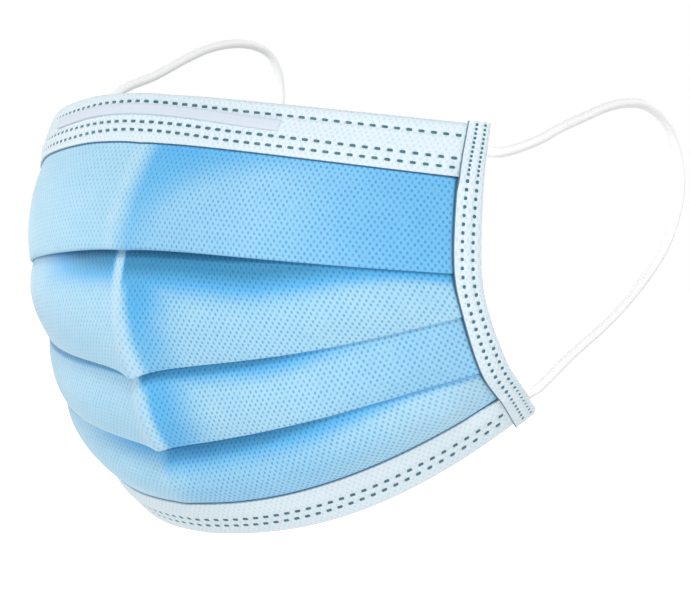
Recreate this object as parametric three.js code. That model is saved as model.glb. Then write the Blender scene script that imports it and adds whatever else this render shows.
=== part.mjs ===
// Pleated three-ply face mask, kept in the form that it has when worn.
// Millimetres: +Z is up, +Y points to the wearer's face and +X to the wearer's left.
// The origin is the middle of the top edge, where the mask rests on the bridge of the nose.
import * as THREE from "three";

const { lerp, smoothstep } = THREE.MathUtils;

// Cloth thickness and free space
const CLOTH = 1; // the bonded plies of the panel, and one layer of a binding
const PRESSED_CLOTH = 0.4; // the panel where its pleats are welded flat at the sides
const GAP = 0.3; // between two pieces, and between the layers of a pleat
const PRESSED_GAP = 0.1; // between the layers of a pleat that is welded flat

// Width of the cloth from the middle line to the outer edge of a side binding
const HALF_WIDTH = 91;
const MIDDLE_SPREAD = 0.28; // how much more of x each step covers at the middle than on average
const SPREAD_POWER = 0.7;
const PROBE = 0.01; // small step along the cloth that shows which way it runs

// The cross lines of the worn mask, from the top edge down. A line starts at the middle of the front
// (middleY, middleZ) and ends at the outer edge of the side binding (endX, endY, endZ). plan and rise are
// the powers by which y and z change with x. crease is how far the folded middle stands out. billow is how
// far the cloth above the line swells out, as a share of its height. loft is how far the layers of the
// pleat at the line stand apart at the middle, besides the usual gap.
const LINE_COLUMNS = [
  "middleY", "middleZ", "endX", "endY", "endZ", "plan", "rise", "crease", "billow", "loft",
];
const LINES = [
  [0, 0, 69, 45, -8, 2.1, 1.2, 0.5, 0, 0], // top edge
  [-4.5, -12.5, 68.5, 43, -21.5, 2.6, 1.5, 0, 0, 0], // top seam
  [-11, -37.5, 69, 40.5, -44.5, 2.6, 1.25, 1.2, 0.04, 1.1], // first pleat
  [-5, -67, 69.5, 45, -53.5, 2.3, 1.7, 3, 0.08, 1.1], // second pleat
  [4, -86, 69, 51.5, -65, 2.8, 1.7, 2.4, 0.05, 2.2], // third pleat
  [13.5, -101, 68, 60.5, -71.5, 1.95, 2.4, 0.3, 0.12, 0], // bottom seam
  [25, -109, 65, 71.5, -77.5, 2.05, 2.7, 0.5, 0, 0], // bottom edge
].map((row) => Object.fromEntries(row.map((value, i) => [LINE_COLUMNS[i], value])));
const TOP_EDGE = 0;
const TOP_SEAM = 1;
const PLEATS = [2, 3, 4];
const PARTING_PLEAT = 3; // the panel is two solids, so that collision can follow its hollow closely
const BOTTOM_SEAM = 5;
const BOTTOM_EDGE = 6;
const CREASE_REACH = 10; // how far to each side of the middle the crease dies away
const CREASE_ROUND = 1.5; // half width of its rounded top
const CREASE_DROP = 0.8; // how much it lowers a line, as a share of how far it stands out

// Pleats
const LAP_MIDDLE = 4; // how far a fold covers the cloth below it, at the middle line
const LAP_SIDE = 8; // and near the sides
const LAP_PRESSED = 3; // and under a side binding
const PRESS_START = 0.82; // share of the half width where the pleats start to be pressed flat
const PRESS_END = 0.91;
const PANEL_COLUMNS = 40;
const PANEL_SHARES = [0.25, 0.5, 0.75]; // extra points between two folds

// Bindings
const BINDING_LIFT = CLOTH + GAP; // from the middle of the panel's wall to the middle of a layer
const BINDING_ROUND = 0.8; // bevel of the folded edge
const BINDING_COLUMNS = 36;
const SIDE_BINDING = 7.5; // width of a side binding
const SIDE_LIFT = 1.65; // its layers clear the pressed pleats
const SIDE_COLUMNS = 30;

// Nose wire, in its raised sleeve on the top binding
const WIRE_HALF_LENGTH = 40;
const WIRE_THICKNESS = 0.9;
const WIRE_STATIONS = [0.4, 0.48, 0.56]; // from its upper to its lower edge, between top edge and top seam
const WIRE_COLUMNS = 24;

// Ear loops: each route leaves the edge of its side binding near the top and comes back near the bottom.
const LOOP_DIAMETER = 2.8;
const LOOP_SIDES = 8;
const LOOP_STEPS = 56;
const LOOP_START = 0.5; // station on the side edge, in the middle of the top binding
const LOOP_END = 5.55; // and in the middle of the bottom binding
const LOOP_LEAD = 3; // straight length that leaves the binding square to its edge
const LEFT_LOOP = [
  [73, 58.5, -12],
  [74, 68.5, -8.5],
  [74, 80, -5.5],
  [74, 92.5, -2.5],
  [74, 102, -1.5],
  [74, 110.5, -2],
  [74, 118.5, -5],
  [74, 125, -10.5],
  [74, 128.5, -18.5],
  [74, 128.5, -25],
  [73.5, 126, -32.5],
  [73, 122, -39],
  [72.5, 114, -46],
  [72, 102, -54],
  [71, 91.5, -60],
  [70, 81.5, -65],
];
const RIGHT_LOOP = [
  [-69.5, 54, -8],
  [-66.5, 66, 3],
  [-64, 79, 8],
  [-62, 91.5, 13.5],
  [-61, 100.5, 16.5],
  [-60, 110.5, 18],
  [-60, 120, 17.5],
  [-60, 126, 15.5],
  [-60, 130, 11],
  [-60.5, 132, 5.5],
  [-61, 132, -2],
  [-62, 131, -12],
  [-63, 127, -23],
  [-64, 121, -33],
  [-65.5, 113, -43],
  [-66.5, 104, -51.5],
  [-67.5, 94, -59],
  [-68, 83, -66],
];

// Finishes
const FINISHES = {
  panelCloth: { color: 0x7fc4f2, roughness: 0.9, metalness: 0 },
  bindingCloth: { color: 0xe4eef6, roughness: 0.85, metalness: 0 },
  wireSleeve: { color: 0xe8f0f7, roughness: 0.7, metalness: 0 },
  elastic: { color: 0xf2f3f4, roughness: 0.8, metalness: 0 },
};

// Turns a share of the half width, -1 to 1, into a share of a line's reach in x, so that equal shares are
// about equal lengths of cloth.
function reachOf(share) {
  const size = Math.abs(share);
  return size * (1 + MIDDLE_SPREAD - MIDDLE_SPREAD * size ** SPREAD_POWER);
}

function linePoint(line, share) {
  const reach = reachOf(share);
  const x = line.endX * reach;
  const roundedX = Math.hypot(x, CREASE_ROUND) - CREASE_ROUND;
  const crease = line.crease * Math.exp(-roundedX / CREASE_REACH);
  return new THREE.Vector3(
    Math.sign(share) * x,
    lerp(line.middleY, line.endY, reach ** line.plan) - crease,
    lerp(line.middleZ, line.endZ, reach ** line.rise) - crease * CREASE_DROP,
  );
}

// A point of the smooth surface through all lines. station counts the lines down from the top edge.
function surfacePoint(share, station) {
  const points = LINES.map((line) => linePoint(line, share));
  const curve = new THREE.CatmullRomCurve3(points, false, "centripetal");
  return curve.getPoint(station / BOTTOM_EDGE);
}

function outwardAt(share, station) {
  const low = Math.max(station - PROBE, TOP_EDGE);
  const high = Math.min(station + PROBE, BOTTOM_EDGE);
  const across = surfacePoint(share + PROBE, station).sub(surfacePoint(share - PROBE, station));
  const down = surfacePoint(share, high).sub(surfacePoint(share, low));
  return down.cross(across).normalize();
}

// A point that stands off the smooth surface by lift, outwards
function liftedPoint(share, station, lift) {
  return surfacePoint(share, station).addScaledVector(outwardAt(share, station), lift);
}

// Length of cloth between a line and the one above it
function spanAbove(share, station) {
  return linePoint(LINES[station], share).distanceTo(linePoint(LINES[station - 1], share));
}

function pressedAt(share) {
  return smoothstep(Math.abs(share), PRESS_START, PRESS_END);
}

function clothAt(share) {
  return lerp(CLOTH, PRESSED_CLOTH, pressedAt(share));
}

// Distance between the middles of two layers of a pleat
function layerStep(share, pleat) {
  const open = GAP + LINES[pleat].loft * (1 - share * share);
  return clothAt(share) + lerp(open, PRESSED_GAP, pressedAt(share));
}

function lapAt(share) {
  return lerp(lerp(LAP_MIDDLE, LAP_SIDE, share * share), LAP_PRESSED, pressedAt(share));
}

// How far the cloth stands off the smooth surface, part of the way from the line above down to this one
function liftBetween(share, from, to, line, part) {
  const swell = LINES[line].billow * spanAbove(share, line) * (1 - pressedAt(share));
  return lerp(from, to, Math.sin((part * Math.PI) / 2)) + swell * Math.sin(part * Math.PI);
}

// The panel at one share of the width, from edge to edge: each pleat is cloth down to its fold, a layer that
// turns up behind it, and the start of the next cloth. The points come as an upper and a lower band, which
// part out of sight where the cloth turns down again behind the parting pleat.
function panelBands(share) {
  const inset = CLOTH + GAP;
  const bands = [[]];
  const add = (station, lift) => bands.at(-1).push(liftedPoint(share, station, lift));
  add(TOP_EDGE + inset / spanAbove(share, TOP_SEAM), 0);
  add((TOP_EDGE + TOP_SEAM) / 2, 0);
  add(TOP_SEAM, 0);
  let from = 0;
  for (const pleat of PLEATS) {
    const step = layerStep(share, pleat);
    const tip = step * pressedAt(share);
    for (const part of PANEL_SHARES) add(pleat - 1 + part, liftBetween(share, from, tip, pleat, part));
    const lap = lapAt(share) / spanAbove(share, pleat);
    const behind = liftBetween(share, from, tip, pleat, 1 - lap) - step;
    from = tip - 2 * step;
    add(pleat, tip);
    add(pleat, tip - step);
    add(pleat - lap, behind);
    if (pleat === PARTING_PLEAT) bands.push([]);
    add(pleat - lap, behind - step);
    add(pleat, from);
  }
  for (const part of PANEL_SHARES) {
    add(BOTTOM_SEAM - 1 + part, liftBetween(share, from, 0, BOTTOM_SEAM, part));
  }
  add(BOTTOM_SEAM, 0);
  add((BOTTOM_SEAM + BOTTOM_EDGE) / 2, 0);
  add(BOTTOM_EDGE - inset / spanAbove(share, BOTTOM_EDGE), 0);
  return bands;
}

// A strip folded over the top or the bottom edge, from its seam outside, round the edge, to its seam inside
function edgeBindingProfile(share, edge, seam) {
  const towardsSeam = Math.sign(seam - edge) / spanAbove(share, Math.max(edge, seam));
  const fold = edge + (CLOTH / 2) * towardsSeam;
  const bend = fold + BINDING_ROUND * towardsSeam;
  const middle = (edge + seam) / 2;
  const flat = BINDING_LIFT - BINDING_ROUND;
  return [
    liftedPoint(share, seam, BINDING_LIFT),
    liftedPoint(share, middle, BINDING_LIFT),
    liftedPoint(share, bend, BINDING_LIFT),
    liftedPoint(share, fold, flat),
    liftedPoint(share, fold, -flat),
    liftedPoint(share, bend, -BINDING_LIFT),
    liftedPoint(share, middle, -BINDING_LIFT),
    liftedPoint(share, seam, -BINDING_LIFT),
  ];
}

// A strip folded over a side edge. side is 1 for the wearer's left and -1 for the right.
function sideBindingProfile(station, side) {
  const inner = side * (1 - SIDE_BINDING / HALF_WIDTH);
  const fold = side * (1 - CLOTH / 2 / HALF_WIDTH);
  const bend = side * (1 - (CLOTH / 2 + BINDING_ROUND) / HALF_WIDTH);
  const flat = SIDE_LIFT - BINDING_ROUND;
  return [
    liftedPoint(inner, station, SIDE_LIFT),
    liftedPoint(bend, station, SIDE_LIFT),
    liftedPoint(fold, station, flat),
    liftedPoint(fold, station, -flat),
    liftedPoint(bend, station, -SIDE_LIFT),
    liftedPoint(inner, station, -SIDE_LIFT),
  ];
}

// count + 1 equal steps from first to last
function steps(first, last, count) {
  return Array.from({ length: count + 1 }, (_, i) => lerp(first, last, i / count));
}

// Which way the two skins of a wall part at one point of its grid, mitred where the profile turns
function mitreAt(grid, column, row) {
  const points = grid[column];
  const before = grid[Math.max(column - 1, 0)][row];
  const after = grid[Math.min(column + 1, grid.length - 1)][row];
  const along = after.clone().sub(before);
  const normalOf = (from, to) => points[to].clone().sub(points[from]).cross(along).normalize();
  const last = points.length - 1;
  const above = normalOf(Math.max(row - 1, 0), Math.max(row, 1));
  const below = normalOf(Math.min(row, last - 1), Math.min(row + 1, last));
  return above.clone().add(below).divideScalar(1 + above.dot(below));
}

// One closed wall round a grid of middle points: columns run along the piece, rows along its profile.
function wall(grid, thicknesses) {
  const columns = grid.length;
  const rows = grid[0].length;
  const positions = [];
  const indices = [];
  const skins = [0.5, -0.5].map((half) =>
    grid.map((points, column) =>
      points.map((point, row) => {
        const offset = mitreAt(grid, column, row).multiplyScalar(half * thicknesses[column]);
        positions.push(...point.clone().add(offset).toArray());
        return positions.length / 3 - 1;
      }),
    ),
  );
  const quad = (a, b, c, d) => indices.push(a, b, c, a, c, d);
  const [front, back] = skins;
  for (let c = 0; c + 1 < columns; c++) {
    for (let r = 0; r + 1 < rows; r++) {
      quad(front[c][r], front[c][r + 1], front[c + 1][r + 1], front[c + 1][r]);
      quad(back[c][r], back[c + 1][r], back[c + 1][r + 1], back[c][r + 1]);
    }
    quad(front[c][0], front[c + 1][0], back[c + 1][0], back[c][0]);
    quad(front[c][rows - 1], back[c][rows - 1], back[c + 1][rows - 1], front[c + 1][rows - 1]);
  }
  for (let r = 0; r + 1 < rows; r++) {
    quad(front[0][r], back[0][r], back[0][r + 1], front[0][r + 1]);
    quad(front[columns - 1][r], front[columns - 1][r + 1], back[columns - 1][r + 1], back[columns - 1][r]);
  }
  const geometry = new THREE.BufferGeometry();
  geometry.setAttribute("position", new THREE.Float32BufferAttribute(positions, 3));
  geometry.setIndex(indices);
  geometry.computeVertexNormals();
  return geometry;
}

// A wall of one thickness
function evenWall(grid, thickness) {
  return wall(grid, grid.map(() => thickness));
}

function loopGeometry(route, side) {
  const leads = [LOOP_START, LOOP_END].map((station) => {
    const edge = surfacePoint(side, station);
    const away = edge.clone().sub(surfacePoint(side * (1 - PROBE), station)).normalize();
    return [GAP, LOOP_LEAD].map((length) => edge.clone().addScaledVector(away, length));
  });
  const middle = route.map((point) => new THREE.Vector3(...point));
  const points = [...leads[0], ...middle, ...leads[1].reverse()];
  const angles = steps(0, 2 * Math.PI, LOOP_SIDES).slice(0, LOOP_SIDES);
  const corners = angles.map((angle) => new THREE.Vector2(Math.cos(angle), Math.sin(angle)));
  const round = new THREE.Shape(corners.map((corner) => corner.multiplyScalar(LOOP_DIAMETER / 2)));
  return new THREE.ExtrudeGeometry(round, {
    steps: LOOP_STEPS,
    extrudePath: new THREE.CatmullRomCurve3(points, false, "centripetal"),
    bevelEnabled: false,
  });
}

const mask = new THREE.Group();
mask.name = "face_mask";

function addPiece(name, geometry, finish) {
  const piece = new THREE.Mesh(geometry, new THREE.MeshStandardMaterial(finish));
  piece.name = name;
  mask.add(piece);
}

const panelEnd = 1 - (CLOTH + GAP) / HALF_WIDTH;
const panelShares = steps(-panelEnd, panelEnd, PANEL_COLUMNS);
const panelGrid = panelShares.map(panelBands);
["face_panel_upper", "face_panel_lower"].forEach((name, band) => {
  const grid = panelGrid.map((bands) => bands[band]);
  addPiece(name, wall(grid, panelShares.map(clothAt)), FINISHES.panelCloth);
});

const bindingEnd = 1 - (SIDE_BINDING + GAP) / HALF_WIDTH;
const bindingShares = steps(-bindingEnd, bindingEnd, BINDING_COLUMNS);
const topGrid = bindingShares.map((share) => edgeBindingProfile(share, TOP_EDGE, TOP_SEAM));
addPiece("top_binding", evenWall(topGrid, CLOTH), FINISHES.bindingCloth);
const bottomGrid = bindingShares.map((share) => edgeBindingProfile(share, BOTTOM_EDGE, BOTTOM_SEAM));
addPiece("bottom_binding", evenWall(bottomGrid.reverse(), CLOTH), FINISHES.bindingCloth);

const sideStations = steps(TOP_EDGE, BOTTOM_EDGE, SIDE_COLUMNS);
const leftGrid = sideStations.map((station) => sideBindingProfile(station, 1));
addPiece("side_binding_left", evenWall(leftGrid, CLOTH), FINISHES.bindingCloth);
const rightGrid = sideStations.map((station) => sideBindingProfile(station, -1));
addPiece("side_binding_right", evenWall(rightGrid.reverse(), CLOTH), FINISHES.bindingCloth);

const wireLift = BINDING_LIFT + CLOTH / 2 + GAP + WIRE_THICKNESS / 2;
const wireEnd = WIRE_HALF_LENGTH / HALF_WIDTH;
const wireGrid = steps(-wireEnd, wireEnd, WIRE_COLUMNS).map((share) =>
  WIRE_STATIONS.map((station) => liftedPoint(share, station, wireLift)),
);
addPiece("nose_wire", evenWall(wireGrid, WIRE_THICKNESS), FINISHES.wireSleeve);

addPiece("ear_loop_left", loopGeometry(LEFT_LOOP, 1), FINISHES.elastic);
addPiece("ear_loop_right", loopGeometry(RIGHT_LOOP, -1), FINISHES.elastic);

export default mask;
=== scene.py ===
"""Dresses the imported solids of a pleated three-ply face mask.

The shapes are worked out in millimetres in the part's own frame and made in metres: +Z is up, +Y points
to the wearer's face, +X to the wearer's left, and the origin is the middle of the top edge.
"""
import logging
import math
from dataclasses import asdict, dataclass
from enum import IntEnum

import bpy
import numpy as np
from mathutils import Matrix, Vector


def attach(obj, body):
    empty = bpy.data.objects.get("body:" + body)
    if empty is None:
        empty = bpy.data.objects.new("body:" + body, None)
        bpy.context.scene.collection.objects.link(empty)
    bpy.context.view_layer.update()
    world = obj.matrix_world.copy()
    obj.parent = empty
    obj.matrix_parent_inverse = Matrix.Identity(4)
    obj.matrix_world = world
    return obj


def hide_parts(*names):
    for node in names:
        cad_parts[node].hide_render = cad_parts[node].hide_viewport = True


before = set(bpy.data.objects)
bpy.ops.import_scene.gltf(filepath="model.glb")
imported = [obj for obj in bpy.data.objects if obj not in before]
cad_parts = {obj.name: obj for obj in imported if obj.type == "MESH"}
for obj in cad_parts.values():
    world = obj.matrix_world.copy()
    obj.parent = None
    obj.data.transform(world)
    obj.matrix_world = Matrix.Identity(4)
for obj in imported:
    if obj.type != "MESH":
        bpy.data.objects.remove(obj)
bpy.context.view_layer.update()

Array = np.ndarray
Colour = tuple[float, float, float]
Point = tuple[float, float, float]
Span = tuple[float, float]
Socket = bpy.types.NodeSocket
Node = bpy.types.Node
Material = bpy.types.Material
Piece = bpy.types.Object

MM = 0.001
FULL_TURN = 2.0 * math.pi
NO_LENGTH = 1e-9
BODY = "root"
CLOTH_PLACE = "cloth_mm"  # attribute that holds where a point lies on its flat cloth, in millimetres
PAINTED_TONE = "painted_light_and_shade"  # attribute that holds the panel's painted light and shade
PAINTED_SHADE_TONE = (0.0, 1.0)  # from plain cloth to painted shade
PAINTED_DEEP_SHADE_TONE = (1.0, 2.0)  # from painted shade to the deepest painted shade under a fold
PAINTED_HIGHLIGHT_TONE = (0.0, -1.0)  # from plain cloth to the strongest painted highlight
CREASE_ANGLE = math.radians(50)
MIX_PART, MIX_COLOURS, MIX_RESULT = 0, (6, 7), 2  # sockets of a Mix node that mixes colours
WHITE_LIGHT = (1.0, 1.0, 1.0, 1.0)
X_AXIS = (1.0, 0.0, 0.0)

log = logging.getLogger("face_mask")


class Line(IntEnum):
    """The cross lines of the worn mask, from the top edge down."""

    TOP_EDGE = 0
    TOP_SEAM = 1
    FIRST_PLEAT = 2
    SECOND_PLEAT = 3
    THIRD_PLEAT = 4
    BOTTOM_SEAM = 5
    BOTTOM_EDGE = 6


class Side(IntEnum):
    """A side of the wearer, as the sign of x."""

    LEFT = 1
    RIGHT = -1


class Layer(IntEnum):
    """A layer of a folded binding, as the sign of its lift off the panel."""

    OUTSIDE = 1
    INSIDE = -1


PLEATS = (Line.FIRST_PLEAT, Line.SECOND_PLEAT, Line.THIRD_PLEAT)


def smooth_step(value: Array, low: float, high: float) -> Array:
    """Eases from 0 at low to 1 at high.

    Args:
        value: The values to ease.
        low: Where the result leaves 0.
        high: Where the result reaches 1.

    Returns:
        The eased values.
    """
    part = np.clip((value - low) / (high - low), 0.0, 1.0)
    return part * part * (3.0 - 2.0 * part)


def blend(first: Array, second: Array, part: Array) -> Array:
    """Goes from first to second as part goes from 0 to 1."""
    return first + (second - first) * part


def smooth_curve(points: Array, place: Array) -> Array:
    """Runs a centripetal Catmull-Rom curve through points, as the solids do.

    Args:
        points: The points, the first axis along the curve and the last one x, y, z.
        place: Where to read the curve, counted in points, with the shape of the middle axes of points.

    Returns:
        The curve's points at these places.
    """
    first = 2.0 * points[:1] - points[1:2]
    last = 2.0 * points[-1:] - points[-2:-1]
    padded = np.concatenate([first, points, last])
    index = np.clip(np.floor(place).astype(int), 0, len(points) - 2)
    part = (place - index)[..., None]
    near = [np.take_along_axis(padded, (index + step)[None, ..., None], axis=0)[0] for step in range(4)]
    gaps = [np.sqrt(np.linalg.norm(near[i + 1] - near[i], axis=-1, keepdims=True)) for i in range(3)]
    leave = (near[1] - near[0]) / gaps[0] - (near[2] - near[0]) / (gaps[0] + gaps[1])
    leave = (leave + (near[2] - near[1]) / gaps[1]) * gaps[1]
    arrive = (near[2] - near[1]) / gaps[1] - (near[3] - near[1]) / (gaps[1] + gaps[2])
    arrive = (arrive + (near[3] - near[2]) / gaps[2]) * gaps[1]
    square = 3.0 * (near[2] - near[1]) - 2.0 * leave - arrive
    cube = 2.0 * (near[1] - near[2]) + leave + arrive
    return near[1] + part * (leave + part * (square + part * cube))


def unit(vectors: Array) -> Array:
    """Vectors of length 1 that point the same way."""
    return vectors / np.maximum(np.linalg.norm(vectors, axis=-1, keepdims=True), NO_LENGTH)


def length_along(points: Array) -> Array:
    """Length along lines of points, which run along the axis before the last, from their first point."""
    steps = np.linalg.norm(np.diff(points, axis=-2), axis=-1)
    return np.concatenate([np.zeros((*steps.shape[:-1], 1)), np.cumsum(steps, axis=-1)], axis=-1)


@dataclass(frozen=True)
class CrossLine:
    """One line across the worn mask, from the middle of the front to the outer edge of a side binding.

    plan and rise are the powers by which y and z change along it. crease is how far the folded middle
    stands out, and crest how far its sharp fold does besides. billow is how far the cloth above the line
    swells, as a share of its height. loft is how far the layers of the pleat at the line stand apart at the
    middle, besides the usual gap. right_rise is how much higher the line runs beside the middle on the
    wearer's right.
    """

    middle_y: float
    middle_z: float
    end_x: float
    end_y: float
    end_z: float
    plan: float
    rise: float
    crease: float
    crest: float
    billow: float
    loft: float
    right_rise: float = 0.0


LINES = (
    CrossLine(0.0, 0.0, 69.0, 45.0, -8.0, 2.1, 1.2, 0.5, 0.0, 0.0, 0.0, 1.3),
    CrossLine(-4.5, -12.5, 68.5, 43.0, -21.5, 2.6, 1.5, 0.0, 0.15, 0.0, 0.0, 1.3),
    CrossLine(-11.0, -37.3, 69.0, 41.3, -44.4, 2.6, 1.4, 0.8, 0.05, 0.04, 1.1),
    CrossLine(-5.0, -65.8, 69.5, 43.2, -52.5, 2.3, 2.4, 3.5, 0.6, 0.08, 1.1),
    CrossLine(4.0, -85.8, 69.0, 53.2, -66.2, 2.8, 1.84, 1.8, 0.5, 0.05, 2.2),
    CrossLine(13.5, -101.0, 68.0, 60.5, -71.5, 1.95, 2.4, 0.3, 0.1, 0.12, 0.0),
    CrossLine(25.0, -109.0, 65.0, 71.5, -77.5, 2.05, 2.7, 0.5, 0.0, 0.0, 0.0),
)


@dataclass(frozen=True)
class WornForm:
    """The smooth surface that the worn cloth follows, in millimetres.

    share runs across the cloth, from -1 at the outer edge of the right side binding to 1 at the left one.
    station counts the cross lines down from the top edge. middle_spread and spread_power set how the width
    spreads over the front. Crease and crest run out sideways over their reach, have a blunt top by their
    round and sink by their drop for each millimetre that they stand out. rise, fall and press are the shares
    between which the right of a line rises and falls, and the pleats get pressed. The probes are how far
    across the cloth its slope is read: probe at the sides, and wide_probe more where probe_ease is reached.
    """

    lines: tuple[CrossLine, ...] = LINES
    half_width: float = 91.0
    middle_spread: float = 0.28
    spread_power: float = 0.7
    crease_reach: float = 10.0
    crease_round: float = 1.5
    crease_drop: float = 0.8
    crest_reach: float = 2.2
    crest_round: float = 0.7
    crest_drop: float = 1.6
    rise_start: float = -0.1
    rise_full: float = 0.25
    fall_start: float = 0.5
    fall_end: float = 0.85
    press_start: float = 0.82
    press_end: float = 0.91
    probe: float = 0.01
    wide_probe: float = 0.11
    probe_ease: float = 0.44

    def line_points(self, line: CrossLine, share: Array) -> Array:
        """Finds the points of one cross line.

        Args:
            line: The cross line.
            share: Where across the cloth.

        Returns:
            The points.
        """
        size = np.abs(share)
        reach = size * (1.0 + self.middle_spread - self.middle_spread * size**self.spread_power)
        x = line.end_x * reach
        rounded = np.hypot(x, self.crease_round) - self.crease_round
        sharper = np.hypot(x, self.crest_round) - self.crest_round
        crest = line.crest * np.exp(-sharper / self.crest_reach)
        crease = line.crease * np.exp(-rounded / self.crease_reach)
        y = blend(line.middle_y, line.end_y, reach**line.plan) - crease - crest
        z = blend(line.middle_z, line.end_z, reach**line.rise)
        z = z - crease * self.crease_drop - crest * self.crest_drop
        raised = smooth_step(-share, self.rise_start, self.rise_full)
        raised = raised * (1.0 - smooth_step(-share, self.fall_start, self.fall_end))
        z = z + line.right_rise * raised
        return np.stack([np.sign(share) * x, y, z], axis=-1)

    def surface(self, share: Array, station: Array) -> Array:
        """Finds points of the smooth surface.

        Args:
            share: Where across the cloth.
            station: Where down the cloth.

        Returns:
            The points.
        """
        share, station = np.broadcast_arrays(np.asarray(share, float), np.asarray(station, float))
        points = np.stack([self.line_points(line, share) for line in self.lines])
        return smooth_curve(points, station)

    def frame_at(self, share: Array, station: Array, reach: float | Array) -> tuple[Array, Array, Array]:
        """Finds how the surface lies.

        Args:
            share: Where across the cloth.
            station: Where down the cloth.
            reach: How far across the cloth to look, which evens out the crease.

        Returns:
            Unit vectors across the cloth, down it and out of it.
        """
        above = np.maximum(station - self.probe, Line.TOP_EDGE)
        below = np.minimum(station + self.probe, Line.BOTTOM_EDGE)
        across = unit(self.surface(share + reach, station) - self.surface(share - reach, station))
        down = unit(self.surface(share, below) - self.surface(share, above))
        return across, down, unit(np.cross(down, across))

    def lifted(self, share: Array, station: Array, lift: Array) -> Array:
        """Finds points that stand off the surface.

        Args:
            share: Where across the cloth.
            station: Where down the cloth.
            lift: How far they stand out.

        Returns:
            The points.
        """
        share, station, lift = np.broadcast_arrays(share, station, lift)
        reach = self.wide_probe * smooth_step(1.0 - np.abs(share), 0.0, self.probe_ease) + self.probe
        outward = self.frame_at(share, station, reach)[2]
        return self.surface(share, station) + outward * lift[..., None]

    def span_above(self, share: Array, line: int) -> Array:
        """Length of cloth between a cross line and the one above it."""
        gap = self.line_points(self.lines[line], share) - self.line_points(self.lines[line - 1], share)
        return np.linalg.norm(gap, axis=-1)

    def pressed(self, share: Array) -> Array:
        """How flat the pleats are pressed, from 0 in the open to 1 under a side binding."""
        return smooth_step(np.abs(share), self.press_start, self.press_end)


FORM = WornForm()


class NodeSheet:
    """Adds and links the nodes of one material."""

    def __init__(self, name: str) -> None:
        """Starts a material with a Principled shader.

        Args:
            name: The material's name.
        """
        self.material = bpy.data.materials.new(name)
        self.material.use_nodes = True
        self.tree = self.material.node_tree
        self.shader = self.tree.nodes["Principled BSDF"]

    def add(self, kind: str, **settings: object) -> Node:
        """Adds a node.

        Args:
            kind: The node's type.
            settings: Its properties.

        Returns:
            The node.
        """
        node = self.tree.nodes.new(kind)
        for name, value in settings.items():
            setattr(node, name, value)
        return node

    def feed(self, socket: Socket, value: object) -> None:
        """Links a socket to another one, or gives it a plain value.

        Args:
            socket: The socket to feed.
            value: The other socket or the value.
        """
        if isinstance(value, Socket):
            self.tree.links.new(value, socket)
        else:
            socket.default_value = value

    def math(self, operation: str, *values: object) -> Socket:
        """Adds a sum.

        Args:
            operation: Blender's name for it.
            values: Sockets or numbers that it takes.

        Returns:
            The socket of its result.
        """
        node = self.add("ShaderNodeMath", operation=operation)
        for socket, value in zip(node.inputs, values):
            self.feed(socket, value)
        return node.outputs[0]

    def ramp(self, value: object, low: float, high: float, kind: str = "LINEAR") -> Socket:
        """Takes a value from 0 at low to 1 at high.

        Args:
            value: The socket to read.
            low: Where the result leaves 0.
            high: Where the result reaches 1.
            kind: Blender's name for the way between.

        Returns:
            The socket of the result.
        """
        node = self.add("ShaderNodeMapRange", interpolation_type=kind)
        for name, number in (("Value", value), ("From Min", low), ("From Max", high)):
            self.feed(node.inputs[name], number)
        return node.outputs["Result"]

    def ease(self, value: object, low: float, high: float) -> Socket:
        """Eases a value from 0 at low to 1 at high."""
        return self.ramp(value, low, high, "SMOOTHSTEP")

    def turn(self, length: Socket, pitch: float) -> Socket:
        """Makes an angle from a length, with a full turn for each pitch."""
        return self.math("MULTIPLY", length, FULL_TURN / pitch)

    def noise(self, place: Socket, stretch: Point, detail: float = 3.0) -> Socket:
        """Adds noise.

        Args:
            place: The socket of the coordinates.
            stretch: How often the noise repeats along each of them.
            detail: How much fine detail it has.

        Returns:
            The socket of the noise, from 0 to 1.
        """
        scaled = self.add("ShaderNodeVectorMath", operation="MULTIPLY")
        for socket, value in zip(scaled.inputs, (place, stretch)):
            self.feed(socket, value)
        node = self.add("ShaderNodeTexNoise")
        for name, value in (("Vector", scaled.outputs[0]), ("Scale", 1.0), ("Detail", detail)):
            self.feed(node.inputs[name], value)
        return node.outputs["Fac"]

    def mix(self, part: object, first: object, second: object, kind: str = "MIX") -> Socket:
        """Mixes two colours.

        Args:
            part: How much of the second.
            first: The first colour, as a socket or three numbers.
            second: The second colour.
            kind: Blender's name for the way to mix them.

        Returns:
            The socket of the mixed colour.
        """
        node = self.add("ShaderNodeMix", data_type="RGBA", blend_type=kind)
        self.feed(node.inputs[MIX_PART], part)
        for number, colour in zip(MIX_COLOURS, (first, second)):
            self.feed(node.inputs[number], colour if isinstance(colour, Socket) else (*colour, 1.0))
        return node.outputs[MIX_RESULT]

    def shade(self, values: dict[str, object]) -> None:
        """Links inputs of the shader, or gives them plain values."""
        for name, value in values.items():
            self.feed(self.shader.inputs[name], value)

    def bump(self, height: Socket, depth: float) -> None:
        """Gives the shader a bump.

        Args:
            height: The socket of the height, from 0 to 1.
            depth: How deep it is, in millimetres.
        """
        node = self.add("ShaderNodeBump")
        for name, value in (("Height", height), ("Distance", depth * MM), ("Strength", 1.0)):
            self.feed(node.inputs[name], value)
        self.shade({"Normal": node.outputs["Normal"]})

    def cloth_place(self) -> tuple[Socket, Node]:
        """Finds where a point lies on its flat cloth.

        Returns:
            The socket of the place, and the node that parts it into its axes.
        """
        place = self.add("ShaderNodeAttribute", attribute_name=CLOTH_PLACE).outputs["Vector"]
        axes = self.add("ShaderNodeSeparateXYZ")
        self.feed(axes.inputs[0], place)
        return place, axes


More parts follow.
